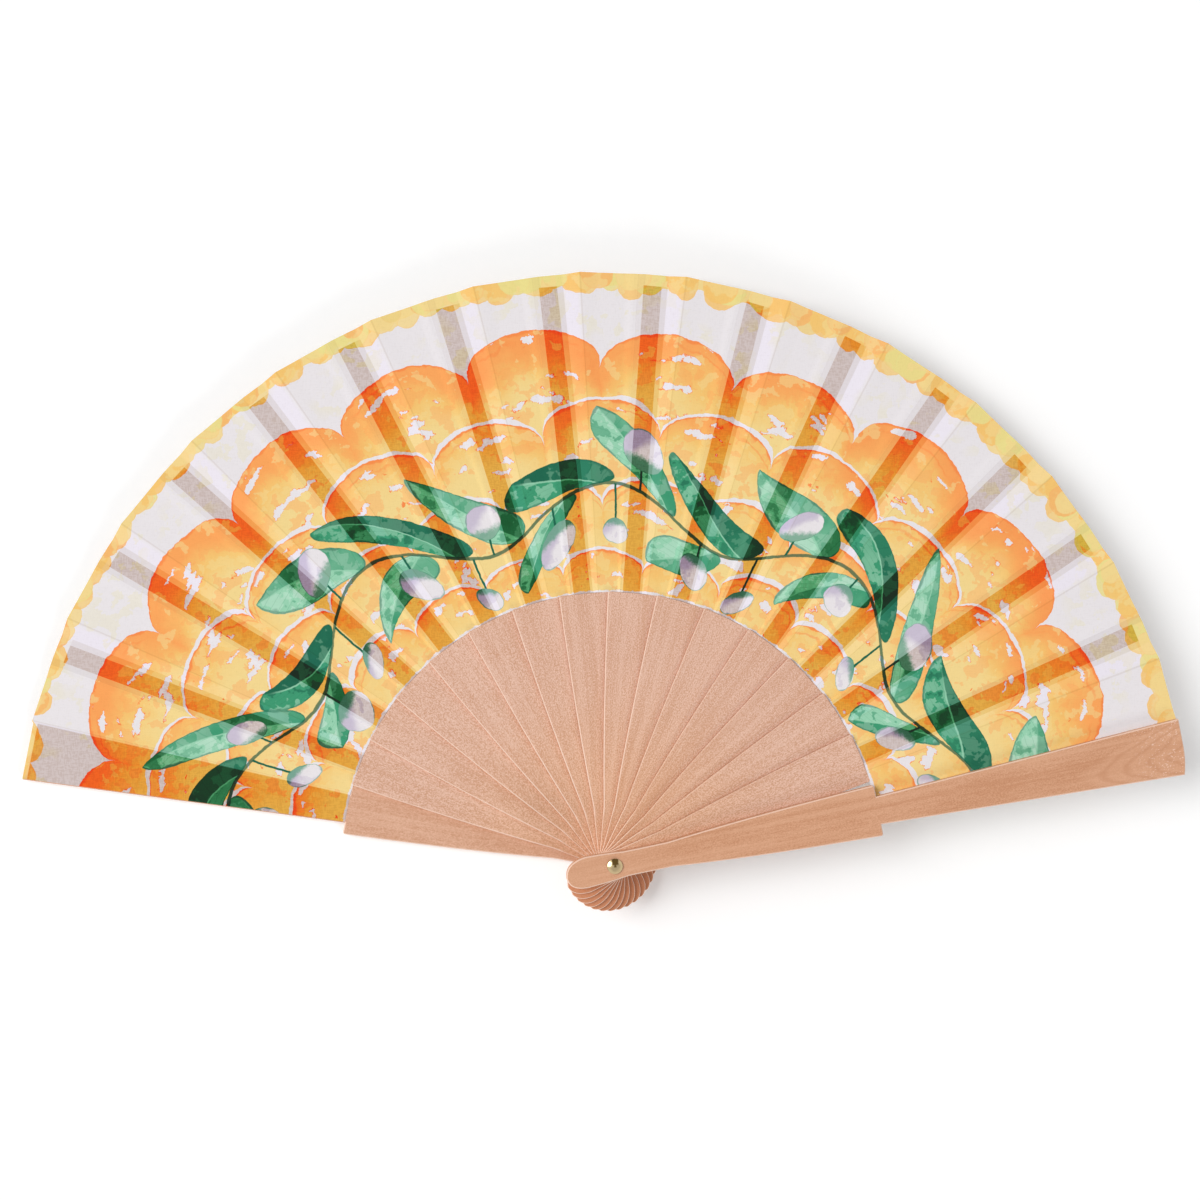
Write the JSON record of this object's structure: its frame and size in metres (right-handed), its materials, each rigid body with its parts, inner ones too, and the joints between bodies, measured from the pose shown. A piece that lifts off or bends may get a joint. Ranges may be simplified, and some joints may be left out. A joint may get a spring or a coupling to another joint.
{
  "type": "folding hand fan",
  "caption": "Open wooden folding hand fan: tapered sticks and guards turning on a brass rivet, with a pleated cloth leaf in a half circle.",
  "frame": {"origin": "centre of the rivet's closed tail, on the pivot axis, 0.2 mm inside the back of the rear guard", "axes": "+Z along the rivet towards its domed head at the front of the fan, +Y along the middle of the open leaf, +X to the right of the open fan seen from the front"},
  "size_m": [0.4193, 0.2307, 0.0286],
  "materials": {
    "guard_wood": "sanded, satin",
    "stick_wood": "sanded, matt",
    "rivet_brass": "polished",
    "leaf_cloth": "fine printed cotton, matt"
  },
  "bodies": {
    "rear": {"rear_guard": "guard_wood", "rivet": "rivet_brass", "rivet_burr": "rivet_brass", "leaf_strip_rear": "leaf_cloth", "leaf_pleat_01": "leaf_cloth"},
    "stick_01": {"stick_01": "stick_wood", "leaf_strip_01": "leaf_cloth", "leaf_pleat_02": "leaf_cloth"},
    "stick_02": {"stick_02": "stick_wood", "leaf_strip_02": "leaf_cloth", "leaf_pleat_03": "leaf_cloth"},
    "stick_03": {"stick_03": "stick_wood", "leaf_strip_03": "leaf_cloth", "leaf_pleat_04": "leaf_cloth"},
    "stick_04": {"stick_04": "stick_wood", "leaf_strip_04": "leaf_cloth", "leaf_pleat_05": "leaf_cloth"},
    "stick_05": {"stick_05": "stick_wood", "leaf_strip_05": "leaf_cloth", "leaf_pleat_06": "leaf_cloth"},
    "stick_06": {"stick_06": "stick_wood", "leaf_strip_06": "leaf_cloth", "leaf_pleat_07": "leaf_cloth"},
    "stick_07": {"stick_07": "stick_wood", "leaf_strip_07": "leaf_cloth", "leaf_pleat_08": "leaf_cloth"},
    "stick_08": {"stick_08": "stick_wood", "leaf_strip_08": "leaf_cloth", "leaf_pleat_09": "leaf_cloth"},
    "stick_09": {"stick_09": "stick_wood", "leaf_strip_09": "leaf_cloth", "leaf_pleat_10": "leaf_cloth"},
    "stick_10": {"stick_10": "stick_wood", "leaf_strip_10": "leaf_cloth", "leaf_pleat_11": "leaf_cloth"},
    "stick_11": {"stick_11": "stick_wood", "leaf_strip_11": "leaf_cloth", "leaf_pleat_12": "leaf_cloth"},
    "stick_12": {"stick_12": "stick_wood", "leaf_strip_12": "leaf_cloth", "leaf_pleat_13": "leaf_cloth"},
    "stick_13": {"stick_13": "stick_wood", "leaf_strip_13": "leaf_cloth", "leaf_pleat_14": "leaf_cloth"},
    "stick_14": {"stick_14": "stick_wood", "leaf_strip_14": "leaf_cloth", "leaf_pleat_15": "leaf_cloth"},
    "front": {"front_guard": "guard_wood", "leaf_strip_front": "leaf_cloth"}
  },
  "joints": [
    {"name": "fold_01", "type": "hinge", "parent": "rear", "child": "stick_01", "pos_m": [0, 0, 0], "axis": [0, 0, 1], "range_deg": [0, 10.71], "deforming": ["leaf_pleat_01"]},
    {"name": "fold_02", "type": "hinge", "parent": "stick_01", "child": "stick_02", "pos_m": [0, 0, 0], "axis": [0, 0, 1], "range_deg": [0, 10.44], "deforming": ["leaf_pleat_02"]},
    {"name": "fold_03", "type": "hinge", "parent": "stick_02", "child": "stick_03", "pos_m": [0, 0, 0], "axis": [0, 0, 1], "range_deg": [0, 10.44], "deforming": ["leaf_pleat_03"]},
    {"name": "fold_04", "type": "hinge", "parent": "stick_03", "child": "stick_04", "pos_m": [0, 0, 0], "axis": [0, 0, 1], "range_deg": [0, 10.44], "deforming": ["leaf_pleat_04"]},
    {"name": "fold_05", "type": "hinge", "parent": "stick_04", "child": "stick_05", "pos_m": [0, 0, 0], "axis": [0, 0, 1], "range_deg": [0, 10.44], "deforming": ["leaf_pleat_05"]},
    {"name": "fold_06", "type": "hinge", "parent": "stick_05", "child": "stick_06", "pos_m": [0, 0, 0], "axis": [0, 0, 1], "range_deg": [0, 10.44], "deforming": ["leaf_pleat_06"]},
    {"name": "fold_07", "type": "hinge", "parent": "stick_06", "child": "stick_07", "pos_m": [0, 0, 0], "axis": [0, 0, 1], "range_deg": [0, 10.44], "deforming": ["leaf_pleat_07"]},
    {"name": "fold_08", "type": "hinge", "parent": "stick_07", "child": "stick_08", "pos_m": [0, 0, 0], "axis": [0, 0, 1], "range_deg": [0, 10.44], "deforming": ["leaf_pleat_08"]},
    {"name": "fold_09", "type": "hinge", "parent": "stick_08", "child": "stick_09", "pos_m": [0, 0, 0], "axis": [0, 0, 1], "range_deg": [0, 10.44], "deforming": ["leaf_pleat_09"]},
    {"name": "fold_10", "type": "hinge", "parent": "stick_09", "child": "stick_10", "pos_m": [0, 0, 0], "axis": [0, 0, 1], "range_deg": [0, 10.44], "deforming": ["leaf_pleat_10"]},
    {"name": "fold_11", "type": "hinge", "parent": "stick_10", "child": "stick_11", "pos_m": [0, 0, 0], "axis": [0, 0, 1], "range_deg": [0, 10.44], "deforming": ["leaf_pleat_11"]},
    {"name": "fold_12", "type": "hinge", "parent": "stick_11", "child": "stick_12", "pos_m": [0, 0, 0], "axis": [0, 0, 1], "range_deg": [0, 10.44], "deforming": ["leaf_pleat_12"]},
    {"name": "fold_13", "type": "hinge", "parent": "stick_12", "child": "stick_13", "pos_m": [0, 0, 0], "axis": [0, 0, 1], "range_deg": [0, 10.44], "deforming": ["leaf_pleat_13"]},
    {"name": "fold_14", "type": "hinge", "parent": "stick_13", "child": "stick_14", "pos_m": [0, 0, 0], "axis": [0, 0, 1], "range_deg": [0, 10.44], "deforming": ["leaf_pleat_14"]},
    {"name": "fold_15", "type": "hinge", "parent": "stick_14", "child": "front", "pos_m": [0, 0, 0], "axis": [0, 0, 1], "range_deg": [0, 11.61], "deforming": ["leaf_pleat_15"]}
  ],
  "couplings": [
    {"joint": "fold_02", "follows": "fold_01", "ratio": 0.97478},
    {"joint": "fold_03", "follows": "fold_01", "ratio": 0.97478},
    {"joint": "fold_04", "follows": "fold_01", "ratio": 0.97478},
    {"joint": "fold_05", "follows": "fold_01", "ratio": 0.97478},
    {"joint": "fold_06", "follows": "fold_01", "ratio": 0.97478},
    {"joint": "fold_07", "follows": "fold_01", "ratio": 0.97478},
    {"joint": "fold_08", "follows": "fold_01", "ratio": 0.97478},
    {"joint": "fold_09", "follows": "fold_01", "ratio": 0.97478},
    {"joint": "fold_10", "follows": "fold_01", "ratio": 0.97478},
    {"joint": "fold_11", "follows": "fold_01", "ratio": 0.97478},
    {"joint": "fold_12", "follows": "fold_01", "ratio": 0.97478},
    {"joint": "fold_13", "follows": "fold_01", "ratio": 0.97478},
    {"joint": "fold_14", "follows": "fold_01", "ratio": 0.97478},
    {"joint": "fold_15", "follows": "fold_01", "ratio": 1.084}
  ]
}
